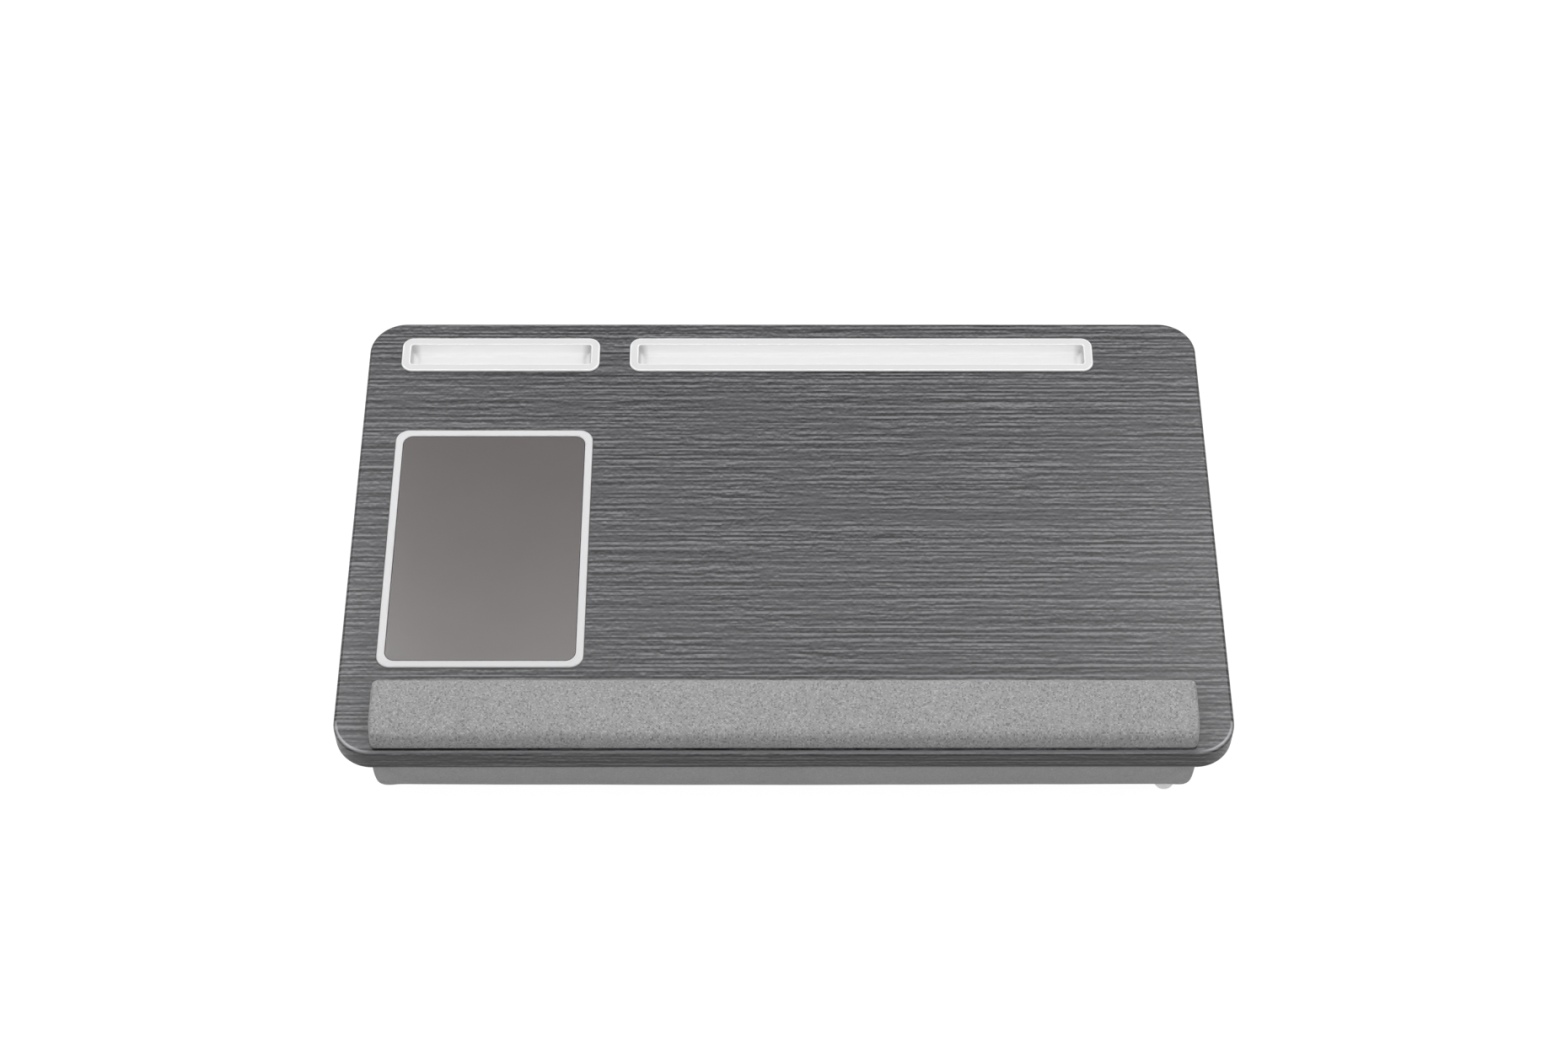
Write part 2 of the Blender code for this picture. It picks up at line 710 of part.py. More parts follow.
def make_materials():
    return {
        "grain_film": new_material("grain_film", (0.140, 0.140, 0.145), 0.45),
        "fibreboard": new_material("fibreboard", (0.36, 0.25, 0.15), 0.85),
        "backer": new_material("backer", (0.10, 0.10, 0.10), 0.6),
        "white_plastic": new_material("white_plastic", (0.80, 0.80, 0.81), 0.3),
        "pad_leather": new_material("pad_leather", (0.185, 0.170, 0.168), 0.5),
        "rest_fabric": new_material("rest_fabric", (0.33, 0.33, 0.33), 0.95),
        "cushion_fabric": new_material("cushion_fabric", (0.21, 0.21, 0.215), 0.95),
        "panel_fabric": new_material("panel_fabric", (0.05, 0.05, 0.05), 0.95),
        "bead_fill": new_material("bead_fill", (0.85, 0.85, 0.85), 0.9),
        "foam": new_material("foam", (0.25, 0.25, 0.25), 0.9),
        "base_board": new_material("base_board", (0.12, 0.12, 0.12), 0.7),
        "tape": new_material("tape", (0.75, 0.72, 0.60), 0.6),
        "card": new_material("card", (0.45, 0.36, 0.25), 0.9),
        "staple_steel": new_material("staple_steel", (0.60, 0.60, 0.62), 0.35, 1.0),
        "tag": new_material("tag", (0.70, 0.70, 0.70), 0.9),
        "cutter": new_material("cutter", (0.9, 0.2, 0.1), 0.5),
    }


def make_lap_desk():
    clear_scene()
    parts = new_collection("lap_desk")
    cutters = new_collection("cutters")
    paint = make_materials()
    pockets = [
        make_tray_pocket(
            "phone_tray_pocket", phone_tray_x, PHONE_TRAY_WIDTH, paint["cutter"], cutters
        ),
        make_tray_pocket(
            "tablet_tray_pocket", tablet_tray_x, tablet_tray_width, paint["cutter"], cutters
        ),
        make_pad_pocket(paint["cutter"], cutters),
    ]
    leg_holes = make_leg_holes(paint["cutter"], cutters)
    make_board(paint, parts, cutters, pockets, leg_holes)
    make_tray("phone_tray", phone_tray_x, PHONE_TRAY_WIDTH, paint, parts)
    make_tray("tablet_tray", tablet_tray_x, tablet_tray_width, paint, parts)
    make_mouse_pad(paint, parts)
    make_wrist_rest(paint, parts)
    make_panel(paint, parts, leg_holes)
    make_bolster("front_bolster", -1, paint, parts)
    make_bolster("rear_bolster", 1, paint, parts)
    make_strips(paint, parts, leg_holes)
    make_staples(paint, parts)
    make_tag(paint, parts)


make_lap_desk()
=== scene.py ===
import json
import math

import bmesh
import bpy
import numpy as np
from mathutils import Matrix, Vector, noise

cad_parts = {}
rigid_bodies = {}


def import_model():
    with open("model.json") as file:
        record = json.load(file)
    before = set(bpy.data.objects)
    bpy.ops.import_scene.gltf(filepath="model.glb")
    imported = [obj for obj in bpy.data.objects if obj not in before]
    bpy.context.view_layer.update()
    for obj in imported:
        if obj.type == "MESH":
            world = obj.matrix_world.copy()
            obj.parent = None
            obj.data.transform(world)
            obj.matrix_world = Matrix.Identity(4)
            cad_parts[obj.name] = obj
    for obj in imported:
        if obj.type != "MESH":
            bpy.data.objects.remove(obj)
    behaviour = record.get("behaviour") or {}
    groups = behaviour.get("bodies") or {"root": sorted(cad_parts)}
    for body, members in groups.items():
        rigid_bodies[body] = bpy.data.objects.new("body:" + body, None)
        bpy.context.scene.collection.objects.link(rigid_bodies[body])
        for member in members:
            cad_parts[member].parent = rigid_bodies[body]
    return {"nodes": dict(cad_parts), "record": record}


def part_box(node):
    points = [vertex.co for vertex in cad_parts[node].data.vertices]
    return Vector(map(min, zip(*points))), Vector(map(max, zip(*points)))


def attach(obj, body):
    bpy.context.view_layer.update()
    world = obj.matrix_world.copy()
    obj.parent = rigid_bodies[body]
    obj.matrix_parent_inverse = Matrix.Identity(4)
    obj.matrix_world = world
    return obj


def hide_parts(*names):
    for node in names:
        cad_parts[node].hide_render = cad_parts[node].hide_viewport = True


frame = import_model()
for left in [o for o in bpy.data.objects if o.name in ("Cube", "Light", "Camera")]:
    bpy.data.objects.remove(left)
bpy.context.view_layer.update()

mm = 0.001
scene = bpy.context.scene
scene.view_settings.view_transform = "Standard"
print("frame loaded:", len(frame["nodes"]), "nodes")


# the studio: camera, lights and floor

camera = {
    "elevation": 54.44,  # degrees above the board
    "turn": -0.379,  # degrees round the desk, to the photo's slight yaw
    "roll": 0.300,
    "distance": 2.0868,
    "aim": (0.33 * mm, 4.09 * mm, 63 * mm),  # on the board's face
    "lens": 68.75,
    "sensor": 36.0,
}
lights = {  # place, size across and up, watts; each faces the desk
    "keySoftbox": ((0.0, 0.12, 1.95), (1.2, 0.5), 2.7),
    "backSoftbox": ((0.0, 0.84, 1.81), (0.8, 0.40), 6.4),
    "leftCornerBox": ((-0.88, 0.86, 1.60), (0.45, 0.6), 17.5),
    "rightCornerBox": ((0.84, 0.88, 1.60), (0.45, 0.6), 18.5),
    "leftSideBox": ((-1.2, -0.05, 1.60), (0.7, 0.7), 6.5),
    "rightSideBox": ((1.2, -0.05, 1.60), (0.7, 0.7), 6.5),
    "frontSoftbox": ((0.0, -1.9, 0.9), (1.8, 0.9), 14),
}
room = {
    "ambient": 0.47,
    "floorColour": 0.65,  # as the desk is lit by it
    "floorShown": 0.95, "floorShade": 0.11,  # as it is seen: its glow, and what shadows take off
    "floorHalf": 6,  # metres
}


def makeCamera():
    data = bpy.data.cameras.new("photoCamera")
    data.lens = camera["lens"]
    data.sensor_width = camera["sensor"]
    data.sensor_fit = "HORIZONTAL"
    made = bpy.data.objects.new("photoCamera", data)
    scene.collection.objects.link(made)
    tilt = math.radians(camera["elevation"])
    back = Vector((0, -math.cos(tilt), math.sin(tilt))) * camera["distance"]
    aimed = Matrix.Translation(Vector(camera["aim"]) + back)
    aimed = aimed @ Matrix.Rotation(math.pi / 2 - tilt, 4, "X")
    turned = Matrix.Rotation(math.radians(camera["turn"]), 4, "Z")
    made.matrix_world = turned @ aimed @ Matrix.Rotation(math.radians(camera["roll"]), 4, "Z")
    scene.camera = made


def makeLights():
    for name, (place, size, watts) in lights.items():
        data = bpy.data.lights.new(name, "AREA")
        data.shape = "RECTANGLE"
        data.size, data.size_y = size
        data.energy = watts
        made = bpy.data.objects.new(name, data)
        made.location = place
        made.rotation_euler = (Vector() - Vector(place)).to_track_quat("-Z", "Y").to_euler()
        made.visible_camera = False
        scene.collection.objects.link(made)


def addNode(tree, kind, inputs=None, **settings):
    made = tree.nodes.new("ShaderNode" + kind)
    for name, value in settings.items():
        setattr(made, name, value)
    for socket, value in (inputs or {}).items():
        if isinstance(value, bpy.types.NodeSocket):
            tree.links.new(value, made.inputs[socket])
        else:
            made.inputs[socket].default_value = value
    return made


def seenDirectly(tree):
    # 1 for rays that show the background, 0 for those that light the desk
    path = addNode(tree, "LightPath")
    shown = path.outputs["Is Camera Ray"]
    for other in ("Is Glossy Ray", "Is Transmission Ray"):
        shown = addNode(tree, "Math", {0: shown, 1: path.outputs[other]}, operation="MAXIMUM")
        shown = shown.outputs[0]
    return shown


def makeRoom():
    world = bpy.data.worlds.new("whiteRoom")
    world.use_nodes = True
    tree = world.node_tree
    tree.nodes.clear()
    ambient = addNode(tree, "Background", {"Color": (1, 1, 1, 1), "Strength": room["ambient"]})
    white = addNode(tree, "Background", {"Color": (1, 1, 1, 1), "Strength": 1.0})
    mix = addNode(tree, "MixShader", {0: seenDirectly(tree), 1: ambient.outputs[0],
                                      2: white.outputs[0]})
    addNode(tree, "OutputWorld", {0: mix.outputs[0]})
    scene.world = world

    shape = bmesh.new()
    bmesh.ops.create_grid(shape, x_segments=1, y_segments=1, size=room["floorHalf"])
    mesh = bpy.data.meshes.new("studioFloor")
    shape.to_mesh(mesh)
    shape.free()
    floor = bpy.data.objects.new("studioFloor", mesh)
    scene.collection.objects.link(floor)
    paper = bpy.data.materials.new("whitePaper")
    paper.use_nodes = True
    tree = paper.node_tree
    tree.nodes.clear()
    grey = room["floorColour"]
    shade = room["floorShade"]
    lit = addNode(tree, "BsdfDiffuse", {"Color": (grey, grey, grey, 1)})
    faint = addNode(tree, "BsdfDiffuse", {"Color": (shade, shade, shade, 1)})
    glow = addNode(tree, "Emission", {"Color": (1, 1, 1, 1), "Strength": room["floorShown"]})
    shown = addNode(tree, "AddShader", {0: faint.outputs[0], 1: glow.outputs[0]})
    top = addNode(tree, "MixShader", {0: seenDirectly(tree), 1: lit.outputs[0],
                                      2: shown.outputs[0]})
    clear = addNode(tree, "BsdfTransparent")
    under = addNode(tree, "NewGeometry").outputs["Backfacing"]  # seen through from below
    both = addNode(tree, "MixShader", {0: under, 1: top.outputs[0], 2: clear.outputs[0]})
    addNode(tree, "OutputMaterial", {0: both.outputs[0]})
    floor.data.materials.append(paper)


makeCamera()
makeLights()
makeRoom()
print("camera, lights and floor made")


# finishes, each made once and shared by its pieces

noiseSpan = (0.3, 0.7)  # most of a noise's values lie between these


def newMaterial(name, roughness, specular=0.5, sheen=0.0):
    material = bpy.data.materials.new(name)
    material.use_nodes = True
    tree = material.node_tree
    tree.nodes.clear()
    surface = addNode(tree, "BsdfPrincipled", {
        "Roughness": roughness, "Specular IOR Level": specular, "Sheen Weight": sheen,
        "Sheen Roughness": 0.5})
    addNode(tree, "OutputMaterial", {0: surface.outputs[0]})
    return material, tree, surface


def mathOf(tree, operation, *values):
    return addNode(tree, "Math", dict(enumerate(values)), operation=operation).outputs[0]


def rangeOf(tree, value, span, made):
    # one span of values stretched over another
    return addNode(tree, "MapRange", dict(enumerate((value, *span, *made)))).outputs[0]


def scaleOf(tree, vector, factor):
    return addNode(tree, "VectorMath", {0: vector, "Scale": factor}, operation="SCALE").outputs[0]


def attributeOf(tree, name):
    return addNode(tree, "Attribute", attribute_name=name).outputs["Fac"]


def placeOf(tree):
    return addNode(tree, "TexCoord").outputs["Object"]


def noiseOf(tree, vector, scale, detail=2.0, rough=0.5, move=(0, 0, 0)):
    # noise with its own scale along each axis, in features per metre
    mapped = addNode(tree, "Mapping", {"Vector": vector, "Scale": scale, "Location": move})
    made = addNode(tree, "TexNoise", {"Vector": mapped.outputs[0], "Scale": 1.0,
                                      "Detail": detail, "Roughness": rough})
    return made.outputs[0]


def rampOf(tree, factor, stops):
    made = addNode(tree, "ValToRGB", {0: factor})
    band = made.color_ramp
    while len(band.elements) < len(stops):
        band.elements.new(0.5)
    for element, (place, colour) in zip(band.elements, stops):
        element.position = place
        element.color = (*colour, 1)
    return made.outputs[0]


def bumpOf(tree, surface, height, strength, distance):
    made = addNode(tree, "Bump", {"Height": height, "Strength": strength, "Distance": distance})
    tree.links.new(made.outputs[0], surface.inputs["Normal"])


def mottle(tree, surface, cloud, colour, drift, span=noiseSpan):
    # the colour drifts a little to both sides of its own tone
    tones = [tuple(c * (1 + side * drift) for c in colour) for side in (-1, 1)]
    tree.links.new(rampOf(tree, cloud, list(zip(span, tones))), surface.inputs["Base Color"])


grainLook = {
    "dark": (0.004, 0.004, 0.005),
    "middle": (0.0385, 0.0385, 0.0412),
    "light": (0.112, 0.112, 0.117),
    "roughness": 0.38, "specular": 0.26,
    "row": 1.05 * mm,  # the print runs in rows, which keep its dashes straight
    "beside": 2.1 * mm,  # from a light line to the dark one behind it, a painted highlight and shade of the relief
    "bump": 0.12, "bumpDepth": 0.4 * mm,
    "edgeShade": 0.70,  # painted shade: the film down the edge is a little darker
    # painted highlight along the upper round edge: a pale colour, with a lower roughness there
    "paintedHighlight": (0.42, 0.42, 0.43), "highlightRoughness": 0.26,
}
grainLines = [  # lines per metre along and across, share of the tone, place in the noise
    ((1.5, 1230, 1), 1.45, (3, 7, 0)),
    ((6, 1370, 1), 1.3, (1, 5, 0)),
    ((50, 1510, 1), 1.1, (8, 2, 0)),
    ((300, 1670, 1), 0.6, (2, 4, 0)),
]
grainBends = [  # how far a row leaves the straight, bends per metre, detail, place in the noise
    (0.12 * mm, (3, 9, 1), 2.0, (0, 0, 0)),
    (0.07 * mm, (70, 200, 1), 1.0, (2, 4, 0)),
]
grainPatches = [  # patches and dashes per metre, detail, place, faintest and strongest print
    ((16, 45, 1), 2.0, (9, 2, 0), (0.55, 1.45)),
    ((260, 620, 1), 1.0, (6, 9, 0), (0.35, 1.65)),
]


def grainFilm():
    # stamped lines that run left and right, on the film's own unrolled map; each line is the grain
    # print together with a painted highlight and shade of its embossed relief
    material, tree, surface = newMaterial("greyGrainFilm", grainLook["roughness"],
                                          grainLook["specular"])
    flat = addNode(tree, "UVMap", uv_map="filmMap").outputs[0]
    parts = addNode(tree, "SeparateXYZ", {0: flat})
    row = parts.outputs[1]
    for reach, scale, detail, move in grainBends:
        bend = noiseOf(tree, flat, scale, detail, move=move)
        row = mathOf(tree, "MULTIPLY_ADD", bend, reach, row)
    row = mathOf(tree, "SNAP", row, grainLook["row"])
    path = addNode(tree, "CombineXYZ", {0: parts.outputs[0], 1: row, 2: 0.0}).outputs[0]
    tone = 0.0
    # each line less its copy a little further back: print, plus painted highlight and shade of the
    # relief
    for scale, share, move in grainLines:
        behind = (move[0], move[1] + grainLook["beside"] * scale[1], 0)
        line = noiseOf(tree, path, scale, 1.0, move=move)
        line = mathOf(tree, "SUBTRACT", line, noiseOf(tree, path, scale, 1.0, move=behind))
        tone = mathOf(tree, "MULTIPLY_ADD", line, share, tone)
    strength = 1.0
    for scale, detail, move, shares in grainPatches:
        patch = noiseOf(tree, flat, scale, detail, move=move)
        patch = rangeOf(tree, patch, noiseSpan, shares)
        strength = mathOf(tree, "MULTIPLY", patch, strength)
    height = mathOf(tree, "MULTIPLY_ADD", tone, strength, 0.5)
    colour = rampOf(tree, height, [(0.1, grainLook["dark"]), (0.5, grainLook["middle"]),
                                   (1.0, grainLook["light"])])
    # painted shade on the film down the board's edge
    shade = mathOf(tree, "MULTIPLY_ADD", attributeOf(tree, "paintedEdgeShade"),
                   grainLook["edgeShade"] - 1, 1.0)
    colour = scaleOf(tree, colour, shade)
    # painted highlight on the upper round edge: paler colour and lower roughness
    highlight = attributeOf(tree, "paintedEdgeHighlight")
    highlighted = addNode(tree, "Mix", {0: highlight, 6: colour, 7: (*grainLook["paintedHighlight"], 1)},
                    data_type="RGBA").outputs[2]
    tree.links.new(highlighted, surface.inputs["Base Color"])
    gloss = rangeOf(tree, highlight, (0.0, 1.0), (grainLook["roughness"], grainLook["highlightRoughness"]))
    tree.links.new(gloss, surface.inputs["Roughness"])
    bumpOf(tree, surface, height, grainLook["bump"], grainLook["bumpDepth"])
    return material


whiteLook = {"cloud": 14, "drift": 0.012, "bumpDepth": 0.1 * mm}


def mouldedWhite(name, colour, roughness, pitch, bump):
    material, tree, surface = newMaterial(name, roughness)
    place = placeOf(tree)
    cloud = noiseOf(tree, place, (whiteLook["cloud"],) * 3)
    mottle(tree, surface, cloud, colour, whiteLook["drift"])
    grit = noiseOf(tree, place, (1 / pitch,) * 3, 1.0)
    bumpOf(tree, surface, grit, bump, whiteLook["bumpDepth"])
    return material


wellLook = {
    "depth": 9.0 * mm, "roughness": 0.5, "specular": 0.3,
    "tones": [(0.0, 0.43), (0.02, 0.535), (0.075, 0.69), (0.16, 0.82), (0.3, 0.79), (0.6, 0.75),
              (1.0, 0.73)],  # painted tones, up from the floor
    "endShade": 0.5,  # painted shade at the two ends, beside 1 along the well
    "grit": 0.8 * mm, "bump": 0.05,
}


def wellWhite():
    # the well's floor takes the light straight on, so its tone is lower than the walls'
    material, tree, surface = newMaterial("wellWhitePlastic", wellLook["roughness"],
                                          wellLook["specular"])
    place = placeOf(tree)
    rise = addNode(tree, "SeparateXYZ", {0: place}).outputs[2]
    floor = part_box("phone_tray")[1].z - wellLook["depth"]
    rise = rangeOf(tree, rise, (floor, floor + wellLook["depth"]), (0.0, 1.0))
    colour = rampOf(tree, rise, [(at, (tone,) * 3) for at, tone in wellLook["tones"]])
    shade = mathOf(tree, "MULTIPLY_ADD", attributeOf(tree, "wellEnd"),
                   wellLook["endShade"] - 1, 1.0)
    tree.links.new(scaleOf(tree, colour, shade), surface.inputs["Base Color"])
    grit = noiseOf(tree, place, (1 / wellLook["grit"],) * 3, 1.0)
    bumpOf(tree, surface, grit, wellLook["bump"], whiteLook["bumpDepth"])
    return material


padLook = {
    "colour": (0.049, 0.0405, 0.0405), "roughness": 0.25, "specular": 0.50,
    "cloud": 18, "drift": 0.05, "pebble": 1.1 * mm, "bump": 0.06, "bumpDepth": 0.12 * mm,
}


def padLeather():
    material, tree, surface = newMaterial("smoothPadLeather", padLook["roughness"],
                                          padLook["specular"])
    place = placeOf(tree)
    cloud = noiseOf(tree, place, (padLook["cloud"],) * 3, 3.0)
    mottle(tree, surface, cloud, padLook["colour"], padLook["drift"])
    pebbles = addNode(tree, "TexVoronoi", {"Vector": place, "Scale": 1 / padLook["pebble"],
                                           "Randomness": 1.0})
    bumpOf(tree, surface, pebbles.outputs[0], padLook["bump"], padLook["bumpDepth"])
    return material


clothLook = {
    "specular": 0.25, "slackWaves": 90.0, "cloudWaves": 30,
    "speckRise": 0.7,  # how far a pale thread stands out, beside the weave's 1
    "threadDepth": 0.3,  # as a share of the threads' pitch
}


def wovenCloth(name, look):
    # threads follow the piece's cloth map; single threads differ in tone
    material, tree, surface = newMaterial(name, look["roughness"], clothLook["specular"],
                                          look["sheen"])
    flat = addNode(tree, "UVMap", uv_map="clothMap").outputs[0]
    place = placeOf(tree)
    slack = addNode(tree, "TexNoise", {"Vector": place, "Scale": clothLook["slackWaves"],
                                       "Detail": 2.0})
    slack = addNode(tree, "VectorMath", {0: slack.outputs[1], 1: (0.5, 0.5, 0.5)},
                    operation="SUBTRACT").outputs[0]
    threads = scaleOf(tree, flat, 1 / look["pitch"])
    threads = addNode(tree, "VectorMath", {0: slack, 1: (look["slack"],) * 3, 2: threads},
                      operation="MULTIPLY_ADD").outputs[0]
    cell = addNode(tree, "VectorMath", {0: threads}, operation="FLOOR").outputs[0]
    speck = addNode(tree, "TexWhiteNoise", {0: cell}, noise_dimensions="2D").outputs[0]
    parts = addNode(tree, "SeparateXYZ", {0: threads})
    over, across = (mathOf(tree, "SINE", mathOf(tree, "MULTIPLY", parts.outputs[axis], math.pi))
                    for axis in (0, 1))
    weave = mathOf(tree, "MULTIPLY", over, across)
    spots = rampOf(tree, speck, [(at, tuple(c * share for c in look["colour"]))
                                 for at, share in look["specks"]])
    cloud = noiseOf(tree, place, (clothLook["cloudWaves"],) * 3, 3.0)
    shade = rangeOf(tree, cloud, noiseSpan, (1 - look["cloud"], 1 + look["cloud"]))
    tree.links.new(scaleOf(tree, spots, shade), surface.inputs["Base Color"])
    height = mathOf(tree, "MULTIPLY_ADD", speck, clothLook["speckRise"], weave)
    bumpOf(tree, surface, height, look["relief"], look["pitch"] * clothLook["threadDepth"])
    return material


plainLook = {"specular": 0.4, "span": (0.32, 0.68), "bump": 0.25, "bumpDepth": 0.2 * mm}


def plainFinish(name, colour, roughness, scale, drift, metal=0.0):
    # hidden boards, foams and tapes: a grain of their own size, and no print
    material, tree, surface = newMaterial(name, roughness, plainLook["specular"])
    surface.inputs["Metallic"].default_value = metal
    fleck = noiseOf(tree, placeOf(tree), scale, 3.0, 0.6)
    mottle(tree, surface, fleck, colour, drift, plainLook["span"])
    bumpOf(tree, surface, fleck, plainLook["bump"], plainLook["bumpDepth"])
    return material


restLook = {
    "colour": (0.196, 0.196, 0.196), "pitch": 0.95 * mm, "slack": 1.3, "relief": 0.2,
    "roughness": 0.9, "sheen": 0.15, "cloud": 0.03,
    "specks": [(0, 0.52), (0.14, 0.86), (0.5, 1), (0.84, 1.09), (1, 1.42)],
}
cushionLook = {
    "colour": (0.222, 0.222, 0.225), "pitch": 0.7 * mm, "slack": 0.5, "relief": 0.35,
    "roughness": 0.92, "sheen": 0.12, "cloud": 0.03,
    "specks": [(0.0, 0.82), (0.1, 0.94), (0.5, 1.0), (0.9, 1.06), (1.0, 1.18)],
}
panelLook = dict(cushionLook, colour=(0.052, 0.052, 0.053), pitch=1.0 * mm, sheen=0.05)
tagLook = dict(cushionLook, colour=(0.93, 0.93, 0.93), pitch=0.3 * mm, cloud=0.01)

# whites: colour, roughness, grit's size, bump
# plain ones: colour, roughness, grain per metre along each axis, drift of the colour, metal
finishes = {
    "grain_film": grainFilm(),
    # lit and shaded copies of one white plastic: the flange tops and the pad frame darker, a
    # painted shade as they face the lights; the rims' round edges darker than the walls but paler
    # than the flange tops, painted shade with a painted highlight
    "white_plastic": mouldedWhite("smoothWhitePlastic", (0.82, 0.82, 0.82), 0.30, 0.9 * mm, 0.05),
    "shadedTexturedRim": mouldedWhite("shadedTexturedWhitePlastic", (0.375, 0.375, 0.38), 0.5, 0.5 * mm, 0.25),
    "mattRimEdgeShadeAndHighlight": mouldedWhite("mattRimEdgeShadeAndHighlightPlastic", (0.56, 0.56, 0.56), 0.6, 0.5 * mm, 0.1),
    "wellWhite": wellWhite(),
    "pad_leather": padLeather(),
    "rest_fabric": wovenCloth("speckledRestCloth", restLook),
    "cushion_fabric": wovenCloth("greyCushionCloth", cushionLook),
    "panel_fabric": wovenCloth("darkPanelCloth", panelLook),
    "tag": wovenCloth("wovenTagCloth", tagLook),
    "fibreboard": plainFinish("pressedFibreboard", (0.37, 0.25, 0.15), 0.85, (900, 900, 200), 0.18),
    "backer": plainFinish("greyBackerPaper", (0.10, 0.10, 0.10), 0.7, (400, 900, 900), 0.08),
    "foam": plainFinish("greyFoam", (0.25, 0.25, 0.25), 0.95, (1200, 1200, 1200), 0.15),
    "base_board": plainFinish("greyBaseBoard", (0.12, 0.12, 0.12), 0.7, (600, 600, 600), 0.1),
    "tape": plainFinish("paleTape", (0.75, 0.71, 0.60), 0.5, (700, 700, 700), 0.04),
    "card": plainFinish("brownCard", (0.45, 0.35, 0.25), 0.9, (300, 900, 900), 0.1),
    "staple_steel": plainFinish("brightStapleSteel", (0.57, 0.57, 0.60), 0.32, (400, 400, 3000),
                                0.08, 1.0),
}
print("finishes made:", len(finishes))


# steps that several pieces share

sameHeight = 1e-6  # metres
sharpTurn = 0.6  # radians: from here on a surface's turn is an edge
cutSnap = 1e-7  # metres: a cut this near to a corner runs through it
tiny = 1e-9  # keeps a length above nothing where it is divided by


def addOutline(shape, size, corner, steps, place, height):
    # a flat face with round corners
    made = bmesh.ops.create_grid(shape, x_segments=1, y_segments=1, size=0.5)["verts"]
    bmesh.ops.scale(shape, vec=(size[0], size[1], 1), verts=made)
    bmesh.ops.translate(shape, vec=(place[0], place[1], height), verts=made)
    bmesh.ops.bevel(shape, geom=made, offset=corner, offset_type="OFFSET", segments=steps,
                    profile=0.5, affect="VERTICES", material=-1)
    return [f for f in shape.faces if abs(f.calc_center_median().z - height) < sameHeight
            and abs(f.calc_center_median().x - place[0]) < size[0] / 2][-1]


def raiseFace(shape, face, rise, scale=(1, 1), centre=(0, 0)):
    # extrudes one face and returns the face at its end
    made = bmesh.ops.extrude_face_region(shape, geom=[face])["geom"]
    verts = [v for v in made if isinstance(v, bmesh.types.BMVert)]
    end = [f for f in made if isinstance(f, bmesh.types.BMFace)][0]
    if face.is_valid:
        bmesh.ops.delete(shape, geom=[face], context="FACES_ONLY")
    space = Matrix.Translation((-centre[0], -centre[1], 0))
    bmesh.ops.scale(shape, vec=(scale[0], scale[1], 1), space=space, verts=verts)
    bmesh.ops.translate(shape, vec=(0, 0, rise), verts=verts)
    return end


def slab(shape, size, corner, steps, place, low, high):
    bottom = addOutline(shape, size, corner, steps, place, low)
    made = bmesh.ops.extrude_face_region(shape, geom=[bottom])["geom"]
    verts = [v for v in made if isinstance(v, bmesh.types.BMVert)]
    bmesh.ops.translate(shape, vec=(0, 0, high - low), verts=verts)
    top = [f for f in made if isinstance(f, bmesh.types.BMFace)][0]
    bmesh.ops.recalc_face_normals(shape, faces=shape.faces[:])
    return bottom, top


def sharpEdges(shape, height, inside=None):
    # level edges at a height, where the surface turns
    found = []
    for edge in shape.edges:
        a, b = (v.co for v in edge.verts)
        if max(abs(a.z - height), abs(b.z - height)) > sameHeight:
            continue
        if abs(edge.calc_face_angle(0.0)) < sharpTurn:
            continue
        if inside is None or inside((a + b) / 2):
            found.append(edge)
    return found


def roundOff(shape, edges, radius, steps):
    bmesh.ops.bevel(shape, geom=edges, offset=radius, offset_type="OFFSET", segments=steps,
                    profile=0.5, affect="EDGES", clamp_overlap=True, material=-1)


def roundRim(shape, height, centre, size, inset, look):
    # rounds a raised rim's inner edge and then its outer one
    def isInner(point):
        return (abs(point.x - centre.x) < size.x / 2 - inset
                and abs(point.y - centre.y) < size.y / 2 - inset)

    roundOff(shape, sharpEdges(shape, height, isInner), look["innerRound"], look["innerSteps"])
    roundOff(shape, sharpEdges(shape, height, lambda point: not isInner(point)),
             look["outerRound"], look["outerSteps"])
    return isInner


def finishPiece(name, shape, slotName, extra=(), smoothAngle=38, cad=()):
    bmesh.ops.recalc_face_normals(shape, faces=shape.faces[:])
    mesh = bpy.data.meshes.new(name)
    shape.to_mesh(mesh)
    shape.free()
    piece = bpy.data.objects.new(name, mesh)
    scene.collection.objects.link(piece)
    for key in (slotName, *extra):
        mesh.materials.append(finishes[key])
    mesh.shade_smooth()
    mesh.set_sharp_from_angle(angle=math.radians(smoothAngle))
    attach(piece, "root")
    if cad:
        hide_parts(*cad)
    return piece


def evenNormals(piece):
    weighted = piece.modifiers.new("evenNormals", "WEIGHTED_NORMAL")
    weighted.keep_sharp = True


def boxOf(node):
    low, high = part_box(node)
    return low, high, (low + high) / 2, high - low


# the printed film over the board's top and edges

board = {
    "corner": 26 * mm, "cornerSteps": 20,
    "edgeRound": 2.8 * mm, "edgeSteps": 6, "holeSteps": 8,
    "turnUnder": 8 * mm, "thickness": 0.4 * mm,
    "under": 0.5 * mm,  # up to this height the film counts as turned under
    "trayHole": 4.0 * mm,  # how far the film runs under a tray's flange
    "trayHoleCorner": 4.0 * mm,
    "padGap": 0.3 * mm, "padCorner": 9.8 * mm,
    "highlightBend": [0, 0.03, 0.14, 0.3, 0.5],  # painted highlight: down the round edge, as a share of it
    "highlightStrength": [0, 0.65, 0.6, 0.25, 0],
    "frontHighlight": 0.42,  # painted highlight along the front edge, beside 1 at its corners
    "highlightCorner": 0.7,  # the lower, the longer the corners' painted highlight
    "edgeShadeBend": (0.3, 0.8),  # where down the round edge the painted shade starts
    "lowEdgeShade": 0.4, "lowEdgeShadeSpan": (1 / 3, 2 / 3),  # painted shade, darker still on the edge's lower part
}


